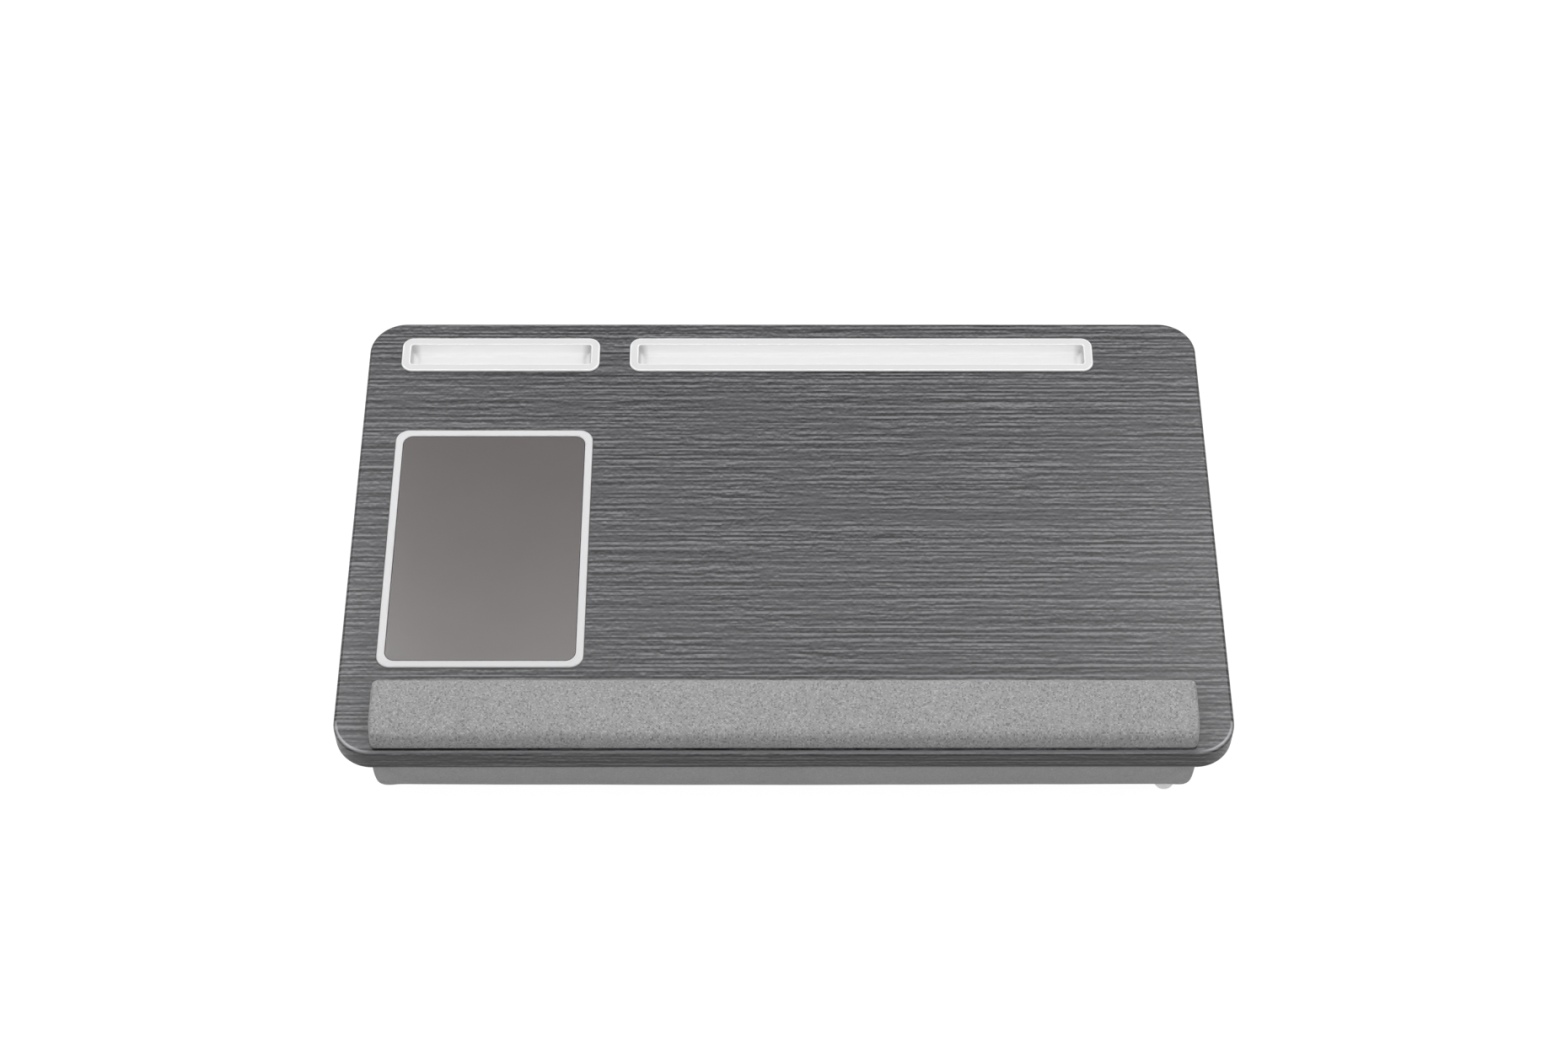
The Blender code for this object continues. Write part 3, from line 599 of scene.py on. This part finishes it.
def mapFilm(mesh, half, top, bottom):
    # unrolls the film: straight on the face, and on down the edges
    reach = board["corner"]
    inner = np.array([half.x - reach, half.y - reach])
    points = np.empty(len(mesh.vertices) * 3)
    mesh.vertices.foreach_get("co", points)
    points = points.reshape(-1, 3)
    flat = points[:, :2]
    nearest = np.clip(flat, -inner, inner)
    away = flat - nearest
    length = np.maximum(np.hypot(away[:, 0], away[:, 1]), tiny)
    onUnderside = points[:, 2] < bottom + board["under"]
    unrolled = length + (top - points[:, 2])
    unrolled = np.where(onUnderside, 2 * reach - length + (top - bottom), unrolled)
    flatMap = nearest + away / length[:, None] * unrolled[:, None]
    corners = np.empty(len(mesh.loops), int)
    mesh.loops.foreach_get("vertex_index", corners)
    layer = mesh.uv_layers.new(name="filmMap")
    layer.data.foreach_set("uv", flatMap[corners].astype(np.float32).ravel())
    # painted highlight: the upper round edge is paler at the front, most of all round the front
    # corners
    bend = np.clip((top - points[:, 2]) / board["edgeRound"], 0, 1)
    out = away / length[:, None]
    corner = np.abs(2 * out[:, 0] * out[:, 1]) ** board["highlightCorner"]
    highlight = np.interp(bend, board["highlightBend"], board["highlightStrength"])
    highlight *= np.where(out[:, 1] < 0, board["frontHighlight"] + (1 - board["frontHighlight"]) * corner, 0)
    # painted shade down the edge, darker towards its lower part
    band = np.interp(bend, board["edgeShadeBend"], [0, 1])
    rise = (points[:, 2] - bottom) / (top - bottom)
    band += board["lowEdgeShade"] * np.interp(rise, board["lowEdgeShadeSpan"], [1, 0])
    for name, values in (("paintedEdgeHighlight", highlight), ("paintedEdgeShade", band)):
        made = mesh.attributes.new(name, "FLOAT", "POINT")
        made.data.foreach_set("value", values.astype(np.float32))


def makeFilm():
    low, high, centre, size = boxOf("wood_grain_film")
    shape = bmesh.new()
    slab(shape, size, board["corner"], board["cornerSteps"], centre, low.z, high.z)
    for height in (low.z, high.z):
        roundOff(shape, sharpEdges(shape, height), board["edgeRound"], board["edgeSteps"])
    faces = sorted(shape.faces, key=lambda f: f.calc_area())[-2:]
    bottom, top = sorted(faces, key=lambda f: f.calc_center_median().z)
    bmesh.ops.inset_region(shape, faces=[bottom],
                           thickness=board["turnUnder"] - board["edgeRound"])
    rim = list(top.edges)
    bmesh.ops.delete(shape, geom=[bottom, top], context="FACES_ONLY")
    for node, inset, corner in (
        ("phone_tray", board["trayHole"], board["trayHoleCorner"]),
        ("tablet_tray", board["trayHole"], board["trayHoleCorner"]),
        ("mouse_pad_frame", -board["padGap"], board["padCorner"]),
    ):
        _, _, middle, wide = boxOf(node)
        hole = addOutline(shape, (wide.x - 2 * inset, wide.y - 2 * inset), corner,
                          board["holeSteps"], middle, high.z)
        rim += list(hole.edges)
        bmesh.ops.delete(shape, geom=[hole], context="FACES_ONLY")
    bmesh.ops.triangle_fill(shape, use_beauty=True, use_dissolve=False, edges=rim,
                            normal=(0, 0, 1))
    film = finishPiece("woodGrainFilm", shape, "grain_film", cad=["wood_grain_film"])
    mapFilm(film.data, size / 2, high.z, low.z)
    wall = film.modifiers.new("filmThickness", "SOLIDIFY")
    wall.thickness = board["thickness"]
    wall.offset = -1
    evenNormals(film)


makeFilm()
print("board film made")


# the two white drop-in trays

tray = {
    "corner": 8 * mm, "cornerSteps": 10,
    "flange": 6.2 * mm, "flangeThick": 1.2 * mm, "wall": 1.4 * mm,
    "wellDepth": wellLook["depth"], "draft": 0.7 * mm,
    "outerRound": 1.0 * mm, "outerSteps": 5, "innerRound": 0.6 * mm, "innerSteps": 4,
    "floorRound": 5.0 * mm, "floorSteps": 8,
    "level": 0.99, "inward": -0.01,  # least upward turn of a flat face and of a well's wall
    "nearly": 0.1 * mm,  # how far off the rim's or the floor's height a face may be
    "endReach": 7 * mm,  # how far a well's ends take painted shade
}


def draftScale(size, inset, draft):
    return tuple((side / 2 - inset - draft) / (side / 2 - inset) for side in size)


def makeTray(name, node):
    low, high, centre, size = boxOf(node)
    under = high.z - tray["flangeThick"]
    floor = high.z - tray["wellDepth"]
    shape = bmesh.new()
    bottom, top = slab(shape, size, tray["corner"], tray["cornerSteps"], centre, under, high.z)
    flat = (size.x, size.y)
    # down the well's walls, and round to its floor
    bmesh.ops.inset_region(shape, faces=[top], thickness=tray["flange"])
    fillet = tray["floorRound"]
    top = raiseFace(shape, top, fillet - tray["wellDepth"],
                    draftScale(flat, tray["flange"], tray["draft"]), centre)
    half = [side / 2 - tray["flange"] - tray["draft"] for side in flat]
    was, height = half, 0.0
    for step in range(1, tray["floorSteps"] + 1):
        turn = math.pi / 2 * step / tray["floorSteps"]
        now = [side - fillet * (1 - math.cos(turn)) for side in half]
        top = raiseFace(shape, top, height - fillet * math.sin(turn),
                        (now[0] / was[0], now[1] / was[1]), centre)
        was, height = now, fillet * math.sin(turn)
    # the well's outside, below the flange
    inset = tray["flange"] - tray["wall"]
    bmesh.ops.inset_region(shape, faces=[bottom], thickness=inset)
    raiseFace(shape, bottom, low.z - under, draftScale(flat, inset, tray["draft"]), centre)
    bmesh.ops.recalc_face_normals(shape, faces=shape.faces[:])
    isInner = roundRim(shape, high.z, centre, size, tray["flange"] / 2, tray)
    # slots: the flange's top takes painted shade (1), the rim's round edges painted shade and
    # highlight (2), the well its painted tones (3)
    for face in shape.faces:
        middle, upward = face.calc_center_median(), face.normal.z
        if upward > tray["level"] and middle.z > high.z - tray["nearly"]:
            face.material_index = 1
        elif middle.z > high.z - tray["outerRound"]:
            face.material_index = 2
        elif (upward > tray["inward"] and middle.z > floor - tray["nearly"]
              and isInner(middle)):
            face.material_index = 3
    # cuts that keep the ends' painted shade at the ends
    for side in (-1, 1):
        limit = size.x / 2 - tray["flange"] - tray["endReach"]
        bmesh.ops.bisect_plane(
            shape, geom=shape.verts[:] + shape.edges[:] + shape.faces[:],
            plane_co=(centre.x + side * limit, 0, 0), plane_no=(1, 0, 0))
    piece = finishPiece(name, shape, "white_plastic", ["shadedTexturedRim", "mattRimEdgeShadeAndHighlight", "wellWhite"],
                        cad=[node])
    across = np.array([vert.co.x for vert in piece.data.vertices])
    reach = size.x / 2 - tray["flange"] - np.abs(across - centre.x)
    made = piece.data.attributes.new("wellEnd", "FLOAT", "POINT")
    made.data.foreach_set("value", np.interp(reach, [0, tray["endReach"]], [1, 0]))
    evenNormals(piece)


makeTray("phoneTray", "phone_tray")
makeTray("tabletTray", "tablet_tray")
print("trays made")


# the mouse pad and its white frame

pad = {
    "corner": 9.5 * mm, "cornerSteps": 12, "frame": 5.4 * mm, "innerCorner": 7.2 * mm,
    "outerRound": 0.9 * mm, "outerSteps": 5, "innerRound": 0.6 * mm, "innerSteps": 4,
    "gap": 0.3 * mm, "surfaceRound": 0.3 * mm, "surfaceSteps": 4, "surfaceCornerSteps": 10,
}


def roundLoop(verts, centre, half, was, now):
    # moves a loop's corners from one radius to another
    for vert in verts:
        sides = [math.copysign(1, vert.co[i] - centre[i]) for i in (0, 1)]
        away = [sides[i] * (vert.co[i] - centre[i]) - half[i] + was for i in (0, 1)]
        turn = math.atan2(max(away[1], 0), max(away[0], 0))
        vert.co.x = centre.x + sides[0] * (half[0] - now + now * math.cos(turn))
        vert.co.y = centre.y + sides[1] * (half[1] - now + now * math.sin(turn))


def makePad():
    low, high, centre, size = boxOf("mouse_pad_frame")
    shape = bmesh.new()
    bottom, top = slab(shape, size, pad["corner"], pad["cornerSteps"], centre, low.z, high.z)
    for face in (bottom, top):
        bmesh.ops.inset_region(shape, faces=[face], thickness=pad["frame"])
    opening = [side / 2 - pad["frame"] for side in (size.x, size.y)]
    roundLoop(list(bottom.verts) + list(top.verts), centre, opening,
              pad["corner"] - pad["frame"], pad["innerCorner"])
    loops = list(bottom.edges) + list(top.edges)
    bmesh.ops.delete(shape, geom=[bottom, top], context="FACES_ONLY")
    bmesh.ops.bridge_loops(shape, edges=loops)
    bmesh.ops.recalc_face_normals(shape, faces=shape.faces[:])
    roundRim(shape, high.z, centre, size, pad["frame"] / 2, pad)
    # the whole frame takes the flange tops' painted shade
    for face in shape.faces:
        face.material_index = 1
    evenNormals(finishPiece("mousePadFrame", shape, "white_plastic", ["shadedTexturedRim"],
                            cad=["mouse_pad_frame"]))

    low, high, centre, size = boxOf("mouse_pad_surface")
    shape = bmesh.new()
    slab(shape, size, pad["innerCorner"] - pad["gap"], pad["surfaceCornerSteps"], centre,
         low.z, high.z)
    roundOff(shape, sharpEdges(shape, high.z), pad["surfaceRound"], pad["surfaceSteps"])
    evenNormals(finishPiece("mousePadSurface", shape, "pad_leather", cad=["mouse_pad_surface"]))


makePad()
print("mouse pad made")


# soft pieces: bolsters, wrist rest, panel and tag

def cutEvenly(shape, low, high, step):
    # cross cuts every few millimetres, so that the surface can bend
    for axis in range(2):
        count = max(int(round((high[axis] - low[axis]) / step)), 2)
        normal = Vector((1, 0, 0)) if axis == 0 else Vector((0, 1, 0))
        for index in range(1, count):
            place = normal * (low[axis] + (high[axis] - low[axis]) * index / count)
            everything = shape.verts[:] + shape.edges[:] + shape.faces[:]
            bmesh.ops.bisect_plane(shape, geom=everything, dist=cutSnap, plane_co=place,
                                   plane_no=normal)


def pointsOf(mesh, what="co"):
    values = np.empty(len(mesh.vertices) * 3)
    if what == "co":
        mesh.vertices.foreach_get("co", values)
    else:
        mesh.vertex_normals.foreach_get("vector", values)
    return values.reshape(-1, 3)


def setPoints(mesh, points):
    mesh.vertices.foreach_set("co", points.astype(np.float32).ravel())
    mesh.update()


def layCloth(mesh):
    # the cloth's threads run straight over each side, in metres
    normals = np.empty(len(mesh.polygons) * 3)
    mesh.polygons.foreach_get("normal", normals)
    totals = np.empty(len(mesh.polygons), int)
    mesh.polygons.foreach_get("loop_total", totals)
    side = np.repeat(np.abs(normals.reshape(-1, 3)).argmax(1), totals)
    corners = np.empty(len(mesh.loops), int)
    mesh.loops.foreach_get("vertex_index", corners)
    points = pointsOf(mesh)[corners]
    pairs = np.array([(1, 2), (0, 2), (0, 1)])[side]
    flat = np.take_along_axis(points, pairs, 1)
    layer = mesh.uv_layers.get("clothMap") or mesh.uv_layers.new(name="clothMap")
    layer.data.foreach_set("uv", flat.astype(np.float32).ravel())


def applyModifier(piece, kind, **settings):
    made = piece.modifiers.new(kind.lower(), kind)
    for name, value in settings.items():
        setattr(made, name, value)
    bpy.context.view_layer.objects.active = piece
    bpy.ops.object.modifier_apply(modifier=made.name)


def noiseAt(points, scale, seed):
    # one smooth random value for each point, about -1 to 1
    moved = points * np.array(scale) + seed
    return np.array([noise.noise(Vector(p)) for p in moved])


def inflate(piece, look):
    # cloth that is blown up a little and then held near its start
    mesh = piece.data
    start = pointsOf(mesh)
    cloth = piece.modifiers.new("filling", "CLOTH")
    settings = cloth.settings
    settings.use_pressure = True
    settings.uniform_pressure_force = look["pressure"]
    settings.shrink_min = look["shrink"]
    settings.effector_weights.gravity = 0
    settings.quality = look["quality"]
    settings.bending_stiffness = look["stiffness"]
    held = piece.vertex_groups.new(name="held")
    for index in np.nonzero(look["isHeld"](start))[0]:
        held.add([int(index)], 1.0, "REPLACE")
    settings.vertex_group_mass = "held"
    for step in range(1, look["frames"] + 1):
        scene.frame_set(step)
    shown = piece.evaluated_get(bpy.context.evaluated_depsgraph_get())
    end = pointsOf(shown.data)
    piece.modifiers.remove(cloth)
    scene.frame_set(1)
    move = end - start
    length = np.maximum(np.linalg.norm(move, axis=1), tiny)
    move *= np.minimum(1, look["mostMove"] / length)[:, None]
    setPoints(mesh, start + move)
    print("  ", piece.name, "moved at most %.1f mm" % (length.max() / mm))


bolster = {
    "rim": 42.0 * mm, "foot": 0.2 * mm,  # heights of its top and its underside
    "startInset": -1.1 * mm,  # from the cover's box to the start of the filling
    "voxel": 3.5 * mm, "pressure": 4.0, "shrink": -0.01, "stiffness": 0.3,
    "quality": 5, "frames": 20, "held": 2 * mm, "mostMove": 0.8 * mm,
    "gather": 0.5 * mm, "gatherPitch": 7 * mm, "gatherReach": 14 * mm,
    "gatherUpright": 0.12,  # the gathers run down, so they change slowly that way
    "gatherFade": 1.5,  # the higher, the nearer they stay to the rim
    "loose": 0.25 * mm, "loosePitch": 45 * mm, "looseSeed": 7.3,
    "seamHeight": 1.5 * mm, "seamPinch": 0.5 * mm, "seamReach": 1.5 * mm,
    "seamUpright": 0.5,  # from here on up to 1 the cloth is upright enough for the whole pinch
}


def makeBolster(name, prefix, seed):
    _, _, centre, size = boxOf(prefix + "_cover")
    source = frame["nodes"][prefix + "_fill"]
    shape = bmesh.new()
    shape.from_mesh(source.data)
    bmesh.ops.remove_doubles(shape, verts=shape.verts[:], dist=0.01 * mm)
    _, _, middle, filling = boxOf(prefix + "_fill")
    inset, rim, foot = bolster["startInset"], bolster["rim"], bolster["foot"]
    wanted = Vector((size.x - 2 * inset, size.y - 2 * inset, rim - foot))
    bmesh.ops.translate(shape, vec=-middle, verts=shape.verts[:])
    ratio = [wanted[i] / filling[i] for i in range(3)]
    bmesh.ops.scale(shape, vec=ratio, verts=shape.verts[:])
    lift = (centre.x, centre.y, foot + wanted.z / 2)
    bmesh.ops.translate(shape, vec=lift, verts=shape.verts[:])
    piece = finishPiece(name, shape, "cushion_fabric",
                        cad=[prefix + "_cover", prefix + "_fill"], smoothAngle=180)
    applyModifier(piece, "REMESH", mode="VOXEL", voxel_size=bolster["voxel"])
    inflate(piece, dict(bolster, isHeld=lambda p: p[:, 2] > rim - bolster["held"]))
    applyModifier(piece, "SUBSURF", levels=1, render_levels=1)
    mesh = piece.data
    points, normals = pointsOf(mesh), pointsOf(mesh, "normal")
    rise = points[:, 2]
    drop = np.clip(1 - (rim - rise) / bolster["gatherReach"], 0, 1)
    waves = 1 / bolster["gatherPitch"]
    upright = waves * bolster["gatherUpright"]
    gathers = noiseAt(points, (waves, waves, upright), seed) * drop ** bolster["gatherFade"]
    waves = 1 / bolster["loosePitch"]
    loose = noiseAt(points, (waves,) * 3, seed + bolster["looseSeed"])
    nearSeam = np.exp(-(((rise - bolster["seamHeight"]) / bolster["seamReach"]) ** 2))
    sideways = 1 - np.abs(normals[:, 2])
    push = (gathers * bolster["gather"] + loose * bolster["loose"] * (1 - drop) * sideways
            - nearSeam * bolster["seamPinch"] * np.clip(sideways / bolster["seamUpright"], 0, 1))
    points = points + normals * push[:, None]
    points[:, 2] = np.clip(points[:, 2], 0, rim)
    setPoints(mesh, points)
    mesh.shade_smooth()
    layCloth(mesh)


makeBolster("frontBolster", "front_bolster", 1.7)
makeBolster("rearBolster", "rear_bolster", 11.4)
print("bolsters made")


rest = {
    "corner": 2.8 * mm, "cornerSteps": 8,
    "longRound": 8 * mm, "endRound": 2.6 * mm, "steps": 7, "cutStep": 5 * mm,
    "crown": 0.8 * mm, "crownEnd": 10 * mm, "headroom": 0.3 * mm,
    "uneven": 0.12 * mm, "unevenWaves": (25, 60, 60), "unevenSeed": 3.1, "unevenFrom": 4 * mm,
    "tuck": 0.1 * mm, "tuckHeight": 0.8 * mm,  # the cover turns in under its lower edge
    "bow": 4.0 * mm,  # how strongly the ends' corners are pulled in
    "bowFront": 0.2, "bowBack": 0.65,  # where the pull starts, from the middle to each edge
    "bowBackShare": 4,  # how much steeper it is at the back
    "bowEnd": 12,  # the higher, the nearer the pull stays to the ends
    "lean": 0.5 * mm,  # the foam sits a touch nearer the front edge
}


def makeRest():
    low, high, centre, size = boxOf("wrist_rest_cover")
    shape = bmesh.new()
    shoulder = high.z - rest["crown"]
    start = shoulder - rest["longRound"]
    _, top = slab(shape, size, rest["corner"], rest["cornerSteps"], centre, low.z, start)
    half = (size.x / 2, size.y / 2)
    was, height = half, start
    for step in range(1, rest["steps"] + 1):
        turn = math.pi / 2 * step / rest["steps"]
        now = (half[0] - rest["endRound"] * (1 - math.cos(turn)),
               half[1] - rest["longRound"] * (1 - math.cos(turn)))
        reach = start + rest["longRound"] * math.sin(turn)
        top = raiseFace(shape, top, reach - height, (now[0] / was[0], now[1] / was[1]), centre)
        was, height = now, reach
    bmesh.ops.recalc_face_normals(shape, faces=shape.faces[:])
    cutEvenly(shape, low, high, rest["cutStep"])
    for vert in shape.verts:
        if vert.co.z > shoulder - sameHeight:
            across = abs(vert.co.y - centre.y) / was[1]
            along = min(1, (was[0] - abs(vert.co.x)) / rest["crownEnd"])
            vert.co.z += rest["crown"] * (1 - across**2) * along
    piece = finishPiece("wristRest", shape, "rest_fabric",
                        cad=["wrist_rest_cover", "wrist_rest_foam"], smoothAngle=60)
    mesh = piece.data
    points, normals = pointsOf(mesh), pointsOf(mesh, "normal")
    rise = points[:, 2] - low.z
    sway = noiseAt(points, rest["unevenWaves"], rest["unevenSeed"]) * rest["uneven"]
    sway *= np.clip(rise / rest["unevenFrom"], 0, 1)
    under = np.clip(1 - rise / rest["tuckHeight"], 0, 1) ** 2
    sway -= under * rest["tuck"] * (1 - np.abs(normals[:, 2]))
    points = points + normals * sway[:, None]
    front = (centre.y - points[:, 1]) / (size.y / 2)  # 1 along the front, -1 along the back
    bow = np.clip(front - rest["bowFront"], 0, 1) ** 2
    bow += np.clip(-front - rest["bowBack"], 0, 1) ** 2 * rest["bowBackShare"]
    bow *= (np.abs(points[:, 0]) / (size.x / 2)) ** rest["bowEnd"]
    points[:, 0] -= np.sign(points[:, 0]) * bow * rest["bow"]
    points[:, 1] -= rest["lean"]
    points[:, 2] = np.minimum(points[:, 2], high.z + rest["headroom"])
    setPoints(mesh, points)
    layCloth(mesh)


makeRest()
print("wrist rest made")


panel = {
    "corner": 20 * mm, "cornerSteps": 8, "cutStep": 9 * mm,
    "ripple": 0.12 * mm, "rippleWaves": (40, 40, 0), "rippleSeed": 5.2,
}


def makePanel():
    low, high, centre, size = boxOf("cushion_panel")
    shape = bmesh.new()
    slab(shape, size, panel["corner"], panel["cornerSteps"], centre, low.z, high.z)
    cutEvenly(shape, low, high, panel["cutStep"])
    piece = finishPiece("cushionPanel", shape, "panel_fabric", cad=["cushion_panel"])
    points = pointsOf(piece.data)
    ripple = noiseAt(points, panel["rippleWaves"], panel["rippleSeed"])
    points[:, 2] += ripple * panel["ripple"]
    setPoints(piece.data, points)
    layCloth(piece.data)


makePanel()
print("panel made")


tag = {
    "corner": 0.8 * mm, "cornerSteps": 3, "cutStep": 1 * mm,
    "tip": 0.3 * mm, "rise": 2.2 * mm, "slope": 3.5 * mm,
    "round": 3.2 * mm, "roundPower": 2.5,
}


def makeTag():
    # a folded loop, round at its end, that slopes from under the bolster to the floor
    low, high, centre, size = boxOf("seam_tag")
    shape = bmesh.new()
    slab(shape, size, tag["corner"], tag["cornerSteps"], centre, low.z, high.z)
    cutEvenly(shape, low, high, tag["cutStep"])
    piece = finishPiece("seamTag", shape, "tag", cad=["seam_tag"])
    points = pointsOf(piece.data)
    across = np.abs(points[:, 0] - centre.x) / (size.x / 2)
    start = low.y + size.y / 2
    ahead = np.clip((start - points[:, 1]) / (size.y / 2), 0, 1)
    points[:, 1] += ahead * tag["round"] * across ** tag["roundPower"]
    back = points[:, 1] - low.y
    wanted = tag["tip"] + tag["rise"] * np.clip(back / tag["slope"], 0, 1)
    blend = np.clip(1 - (back - tag["slope"]) / tag["slope"], 0, 1)
    points[:, 2] += (wanted - low.z) * blend
    setPoints(piece.data, points)
    layCloth(piece.data)


makeTag()
print("tag made")


# the solids that stay get their finishes

def dressNodes():
    slots = {part["node"]: part["material_slot"] for part in frame["record"]["subparts"]}
    for name, node in frame["nodes"].items():
        if node.hide_render:
            continue
        finish = finishes[slots[name]]
        for index in range(len(node.material_slots)):
            node.material_slots[index].link = "OBJECT"
            node.material_slots[index].material = finish


dressNodes()
